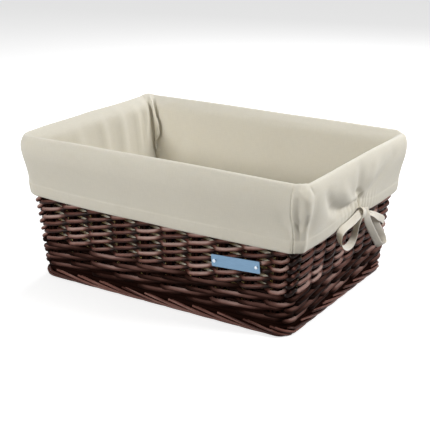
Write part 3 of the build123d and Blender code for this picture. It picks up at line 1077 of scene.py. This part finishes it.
# liner: offset from the stake line, height and closeness of the mesh, from the inner edge of the casing
# down round the hem, up the outside, over the rim and down the inside.
liner = {
    "profile": [
        (8.9, 119.0, 2), (8.8, 112.0, 2), (8.9, 107.2, 6), (9.8, 105.4, 12), (11.0, 105.6, 12),
        (11.7, 107.4, 8), (12.0, 112.0, 4), (12.0, 117.0, 6), (11.95, 119.0, 12), (11.7, 120.2, 14),
        (11.65, 121.6, 10), (11.8, 124.0, 5), (12.3, 132.0, 4), (13.4, 142.0, 4), (14.6, 152.0, 4),
        (15.3, 160.0, 4), (15.1, 168.0, 4), (13.9, 175.0, 5), (11.9, 180.0, 7), (9.4, 183.3, 11),
        (6.8, 184.8, 13), (4.2, 184.2, 11), (0.5, 181.4, 6), (-3.6, 177.9, 4), (-6.9, 173.4, 4),
        (-8.6, 167.0, 3), (-9.2, 156.0, 2), (-9.2, 130.0, 1.6), (-9.2, 100.0, 1.6), (-9.2, 60.0, 1.6),
        (-9.3, 34.0, 2), (-9.4, 24.4, 3),
    ],
    "rows": 118,
    # turns and how many columns stand before them
    "columns": [
        (0, 0), (0.97, 80), (1, 98), (2, 138), (3, 262), (4, 278), (5, 332), (6, 354), (7, 400), (8, 416),
    ],
    # radius of the stake line's corners under the cloth, and how much sharper the near one is
    "corner": 12.0 * mm,
    "sharper": 9.0 * mm,
    "thickness": 0.9 * mm,
    # turn and millimetres that the hem and the rim rise above their even height
    "hemRise": [
        (0.03, 4.2), (0.09, 2.7), (0.2, 1.4), (0.33, 0.7), (0.5, 1.1), (0.6, 0.3), (0.72, 0.5), (0.87, 0.8),
        (0.97, 1.5), (1.5, 2.4), (2.03, 1.6), (2.2, 0.8), (2.34, 3.4), (2.44, 6.5), (2.49, 11.0),
        (2.54, 11.0), (2.6, 6.5), (2.68, 3.0), (2.82, 2.4), (3.1, 5.0), (3.6, 5.5), (4.5, 4.0),
        (5.5, 5.5), (6.5, 4.5), (7.5, 5.8),
    ],
    "rimRise": [(0.2, 0.0), (0.5, 0.5), (1.0, -0.6), (1.5, 0.4), (2.0, -0.8), (2.6, 0.4), (3.0, -0.8),
        (3.5, -2.6), (3.95, -0.8), (4.4, -0.3), (5.2, 0.2), (5.5, 2.2), (5.85, 1.4), (6.1, -0.6),
        (6.5, 0.4), (6.85, -0.8), (7.5, -2.4), (7.97, -1.0)],
    # folds: turn and height of each end, width and rise in millimetres, a valley when negative
    "outsideFolds": [
        # beside the near corner
        (1.53, 179, 1.60, 150, 7.5, 4.6), (1.60, 152, 1.70, 108, 6.5, 3.2), (1.14, 181, 1.50, 171, 3, 1.3),
        (1.28, 168, 1.42, 138, 6, -2.4), (1.10, 147, 1.46, 133, 2.2, -1.1), (1.44, 144, 1.52, 122, 4, -1.8),
        (1.70, 184, 1.92, 176, 3, -1.6), (1.98, 176, 1.98, 130, 9, -1.6),
        (2.04, 160, 2.10, 128, 17, 2.2),
        # drawn in towards the knot
        (2.12, 163, 2.21, 141, 8, -4.2), (2.21, 141, 2.30, 130, 7, -5.2), (2.30, 130, 2.47, 122, 5, -4.4),
        (2.26, 160, 2.36, 138, 8, 3.0), (2.36, 138, 2.47, 124, 5, 2.6),
        (2.44, 172, 2.47, 140, 9, -3.4), (2.47, 140, 2.515, 124, 5, -4.6),
        (2.40, 132, 2.49, 121, 2.5, -2.2),
        (2.60, 166, 2.56, 136, 11, 2.6),
        (2.82, 168, 2.60, 128, 10, -2.0),
        # the slit that the tape comes out of
        (2.505, 113, 2.525, 130, 1.7, -6.0), (2.49, 128, 2.545, 128, 4, 1.4),
        # front, near its right end
        (0.93, 172, 0.99, 140, 8, -1.2), (0.97, 146, 1.2, 120, 5, -1.3), (0.80, 176, 0.90, 150, 12, 0.6),
        (0.20, 150, 0.26, 146, 4, -0.4),
        # the other corners
        (7.30, 180, 7.45, 125, 7, -2.2), (7.75, 178, 7.65, 130, 7, -1.6), (7.52, 176, 7.56, 120, 4, 1.0),
        (3.30, 178, 3.40, 125, 7, -2.4), (3.68, 178, 3.62, 128, 7, -2.0), (3.5, 174, 3.52, 120, 4, 1.2),
        (5.30, 178, 5.42, 125, 7, -2.4), (5.70, 176, 5.60, 125, 7, -2.0),
        (4.25, 172, 4.22, 130, 16, -1.0), (4.7, 170, 4.75, 128, 18, 1.0), (6.3, 172, 6.35, 130, 14, -1.0),
        (6.75, 168, 6.7, 128, 16, -0.9),
    ],
    "insideFolds": [
        (5.50, 184, 5.75, 150, 7, 11.0), (5.75, 152, 5.80, 132, 6, 11.0), (5.80, 136, 5.30, 116, 5, 8.0),
        (5.30, 118, 4.975, 96, 4, 4.0), (4.975, 100, 4.97, 50, 3.5, 3.0),
        (6.05, 180, 6.10, 112, 5, 3.8), (6.15, 176, 6.14, 100, 6, 2.6), (6.30, 178, 6.30, 90, 9, 3.0),
        (6.48, 172, 6.44, 90, 9, 2.8), (6.70, 168, 6.66, 110, 10, 2.0), (4.80, 150, 4.84, 60, 14, 1.6),
        (4.93, 176, 4.92, 130, 6, 1.6), (4.5, 160, 4.5, 60, 30, 1.5),
        (3.4, 170, 3.5, 90, 5, 2.0), (7.4, 170, 7.5, 80, 5, 2.0), (1.5, 160, 1.5, 70, 5, 1.6),
    ],
    # line of the corner seams on the outside, turn and height
    "seams": [
        [(0.994, 184), (1.0, 160), (1.02, 150), (1.15, 135), (1.24, 120), (1.3, 104)],
        [(3.55, 184), (3.5, 104)],
        [(5.5, 184), (5.5, 104)],
        [(7.6, 184), (7.55, 104)],
    ],
    # height, offset and corner of the line that lengths along the cloth are measured on
    "measure": (150 * mm, 12 * mm, 8 * mm),
    "knots": 1601,
    "softness": 0.03,  # turns over which the curves of hem and rim are blurred
    # millimetres: the step past a seam, how far it takes to sink back, the groove and its width
    "seam": {"step": 0.5, "run": 7, "groove": 1.2, "width": 0.7},
    # amount, waves round the liner and seed of the slow unevenness
    "strayOutside": (0.5 * mm, 14, 700),
    "strayInside": (0.35 * mm, 10, 701),
    "strayRim": (0.35 * mm, 24, 702),
    # gathers of the hem beside the knot
    "gather": {"turn": 2.515, "rise": 0.8 * mm, "pitch": 9 * mm, "spread": 34 * mm, "top": 135 * mm,
               "fade": 15 * mm},
    "hem": {"top": 166 * mm, "fade": 44 * mm},  # height where the hem's rise has faded out
    "change": 9 * mm,  # distance past the ridge that takes the outside to the inside
    "rimSpread": 22 * mm,  # and the one that the rim's rise reaches
    # turns round the sharper corner, and how far its blunting starts before the ridge, in rimSpreads
    "sharp": {"turn": 1.55, "reach": 1.3, "fade": 0.8, "start": 0.35},
}


def smoothLine(points, count):
    # A rounded line through points: each stretch is a cubic with slopes from its neighbours.
    # The last number of a point says how close the rows are there; their count is shared out
    # in proportion to it. Returns the rows' points and their lengths along the line.
    points = np.array(points, float)
    slopes = np.gradient(points, axis=0)
    share = np.linspace(0, 1, 24, endpoint=False)[:, None, None]  # 24 short steps to a stretch
    a, b, m, n = points[:-1], points[1:], slopes[:-1], slopes[1:]
    curve = (
        (2 * share**3 - 3 * share**2 + 1) * a
        + (share**3 - 2 * share**2 + share) * m
        + (3 * share**2 - 2 * share**3) * b
        + (share**3 - share**2) * n
    )
    curve = np.concatenate([curve.transpose(1, 0, 2).reshape(-1, 3), points[-1:]])
    steps = np.linalg.norm(np.diff(curve[:, :2], axis=0), axis=1)
    length = np.concatenate([[0], np.cumsum(steps)])
    rows = np.concatenate([[0], np.cumsum(steps * np.maximum(curve[1:, 2], 1))])
    even = np.linspace(0, rows[-1], count)
    line = np.stack([np.interp(even, rows, curve[:, axis]) for axis in range(2)], axis=-1)
    return line, np.interp(even, rows, length)


def clothLength(turns):
    # Metres along the cloth from turn 0, as the sum of short straight steps, and the whole way.
    knots = np.linspace(0, 8, liner["knots"])
    line = wallPoint(knots - 1e-9, *liner["measure"])
    length = np.concatenate([[0], np.cumsum(np.linalg.norm(np.diff(line, axis=0), axis=1))])
    return np.interp(np.mod(turns, 8), knots, length), length[-1]


def foldField(folds, turns, height):
    # The sum of the folds: each is a bell across a line on the cloth, highest half way along
    # the line as the middle three fifths of a sine.
    along, whole = clothLength(turns)
    total = 0 * along * height
    for turn0, height0, turn1, height1, width, rise in folds:
        start = clothLength(turn0)[0]
        run = np.mod(clothLength(turn1)[0] - start + whole / 2, whole) - whole / 2
        climb = (height1 - height0) * mm
        x = np.mod(along - start + whole / 2, whole) - whole / 2
        y = height - height0 * mm
        share = np.clip((x * run + y * climb) / (run**2 + climb**2), 0, 1)
        away = np.hypot(x - share * run, y - share * climb)
        fade = np.sin(np.pi * (0.2 + 0.6 * share))
        total = total + rise * mm * fade * np.exp(-((away / (width * mm)) ** 2))
    return total


def seamField(turns, height):
    # A narrow groove along each corner seam. The cloth past it starts a little proud of the
    # cloth before it, and sinks back over some millimetres.
    along, whole = clothLength(turns)
    seams = liner["seam"]
    total = 0 * along * height
    for seam in liner["seams"]:
        seam = np.array(seam[::-1], float)
        place = clothLength(np.interp(height / mm, seam[:, 1], seam[:, 0]))[0]
        x = (along - place) / mm
        step = seams["step"] * (x > 0) * np.exp(-np.maximum(x, 0) / seams["run"])
        groove = seams["groove"] * np.exp(-((x / seams["width"]) ** 2))
        total = total + (step - groove) * mm
    return total


def turnCurve(keys, turns):
    # A smooth closed curve near keys of turn and value.
    return rhythm(turns, 8, keys, liner["softness"])


def clothPoints(turns, offset, height, past):
    # The cloth at some turns: the even profile, with folds and seams pushed out or in, gathers
    # that go as a sine beside the knot, and the hem and rim raised. past is the distance past
    # the ridge, negative on the outside.
    outside, inside = softStep(-past / liner["change"]), softStep(past / liner["change"])
    push = outside * foldField(liner["outsideFolds"], turns, height)
    push = push + outside * seamField(turns, height)
    push = push - inside * foldField(liner["insideFolds"], turns, height)
    around = turns / 8
    push = push + stray(around, 0, *liner["strayOutside"]) * outside
    push = push + stray(around, 0, *liner["strayInside"]) * inside
    gather, hem, sharp = liner["gather"], liner["hem"], liner["sharp"]
    beside = clothLength(turns)[0] - clothLength(gather["turn"])[0]
    folds = gather["rise"] * np.sin(2 * np.pi * beside / gather["pitch"])
    folds = folds * np.exp(-((beside / gather["spread"]) ** 2)) * outside
    push = push + folds * softStep((gather["top"] - height) / gather["fade"])
    low = outside * softStep((hem["top"] - height) / hem["fade"])
    near = np.exp(-((past / liner["rimSpread"]) ** 2))
    rise = low * turnCurve(liner["hemRise"], turns) + near * turnCurve(liner["rimRise"], turns)
    height = height + mm * rise + stray(around, 0, *liner["strayRim"]) * near
    sharper = softStep((sharp["reach"] - np.abs(turns - sharp["turn"])) / sharp["fade"])
    sharper = sharper * (1 - softStep(past / liner["rimSpread"] + sharp["start"]))
    corner = liner["corner"] - liner["sharper"] * sharper
    return wallPoint(turns, height, offset + push, corner)


def linerColumns():
    # Turns of the columns, evenly spread between those that the dictionary lists.
    turns, counts = np.array(liner["columns"], float).T
    return np.interp(np.arange(counts[-1]), counts, turns)


def thicken(piece, thickness):
    # Gives a surface half of the thickness on each side.
    solid = piece.modifiers.new("thickness", "SOLIDIFY")
    solid.thickness = thickness
    solid.offset = 0


def makeLiner():
    # The profile carried round the wall, at the turns of the columns.
    profile, down = smoothLine(liner["profile"], liner["rows"])
    profile, down = profile * mm, down * mm
    past = (down - down[np.argmax(profile[:, 1])])[:, None]
    turns = linerColumns()
    points = clothPoints(turns[None], profile[:, :1], profile[:, 1:], past)
    along, whole = clothLength(turns)
    uv = np.stack(np.broadcast_arrays(along[None], down[:, None]), axis=-1)
    rows, columns = points.shape[:2]
    faces = gridFaces(rows, columns, False, True)
    piece = addPiece("liner_cloth", points.reshape(-1, 3), faces, uv.reshape(-1, 2))
    thicken(piece, liner["thickness"])
    names = sideNames("liner") + sideNames("flap") + ["hem_casing", "drawstring"]
    finishPiece(piece, "liner", "cloth", clothLook, *names)


stitches = {
    "spacing": 4.2 * mm,
    "length": 1.35 * mm,  # if all turns were as long; a turn and its stitches are longer on a side
    "knots": 3201,
    "radius": 0.2 * mm,
    "sides": 6,
    "offset": 12.3 * mm,
    "height": 118.6 * mm,
    "past": -66 * mm,  # distance past the ridge
    # places from a stitch's middle to its ends at -0.5 and 0.5, and how far it stands out there
    "arch": [(-0.5, -0.3 * mm), (-0.25, 0.02 * mm), (0.25, 0.02 * mm), (0.5, -0.3 * mm)],
}


def makeHemStitches():
    # Short round stitches just proud of the cloth, a row round the top of the hem.
    whole = clothLength(0)[1]
    count = int(whole / stitches["spacing"])
    knots = np.linspace(0, 8, stitches["knots"])
    turns = np.interp((np.arange(count) + 0.5) * stitches["spacing"], clothLength(knots - 1e-9)[0], knots)
    share, arch = np.array(stitches["arch"]).T
    step = stitches["length"] / whole * 8
    turns = turns[:, None] + step * share[None]
    offset = (stitches["offset"] + arch)[None]
    points = clothPoints(turns, offset, stitches["height"] + 0 * turns, stitches["past"] + 0 * turns)
    piece = rods("hem_stitches", points, stitches["radius"], (0, 0, 1), stitches["sides"])
    finishPiece(piece, "liner", "cloth", threadLook)


linerFloor = {
    "height": 24.7 * mm,
    "outline": (25 * mm, -9.9 * mm, 12.5 * mm),  # height, offset and corner of the wall there
    "counts": (40, 8, 26, 8, 40, 8, 26, 8),  # columns on each side and corner
    "rings": [0.04, 0.12, 0.22, 0.33, 0.44, 0.55, 0.66, 0.76, 0.85, 0.92, 0.965, 0.985, 0.995, 1.0],
    "lift": ([0.96, 0.985, 0.995, 1.0], [0, 0.3 * mm, 0.9 * mm, 1.9 * mm]),  # rings and their rise
    "dimple": 0.5 * mm,
    "dimpleRates": (55, 70),  # radians for each metre along X and Y
}


def makeLinerFloor():
    # A rounded oblong panel: rings of the wall's outline shrunk to the middle, its edge
    # turned up a little inside the wall, and slow dimples, the product of two sines.
    rings = np.array(linerFloor["rings"])[:, None]
    counts, height = linerFloor["counts"], linerFloor["height"]
    turns = np.concatenate([side + np.arange(count) / count for side, count in enumerate(counts)])
    edge = wallPoint(turns, *linerFloor["outline"])
    points = rings[:, None] * edge * (1, 1, 0)
    rateX, rateY = linerFloor["dimpleRates"]
    dimple = linerFloor["dimple"] * np.sin(points[..., 0] * rateX + 1) * np.sin(points[..., 1] * rateY)
    points[..., 2] = height + np.interp(rings, *linerFloor["lift"]) + dimple * (1 - rings**6)
    columns = len(turns)
    vertices = np.concatenate([points.reshape(-1, 3), [[0, 0, height]]])
    faces = gridFaces(len(rings), columns, False, True) + tipFaces(len(vertices) - 1, 0, columns, True)
    faces = [face[::-1] for face in faces]
    piece = addPiece("liner_floor_cloth", vertices, faces, vertices[:, :2] + 0.5)
    thicken(piece, liner["thickness"])
    finishPiece(piece, "liner", "cloth", clothLook, "liner_floor")


makeLiner()
makeHemStitches()
makeLinerFloor()
print("liner: cloth, stitches and floor")
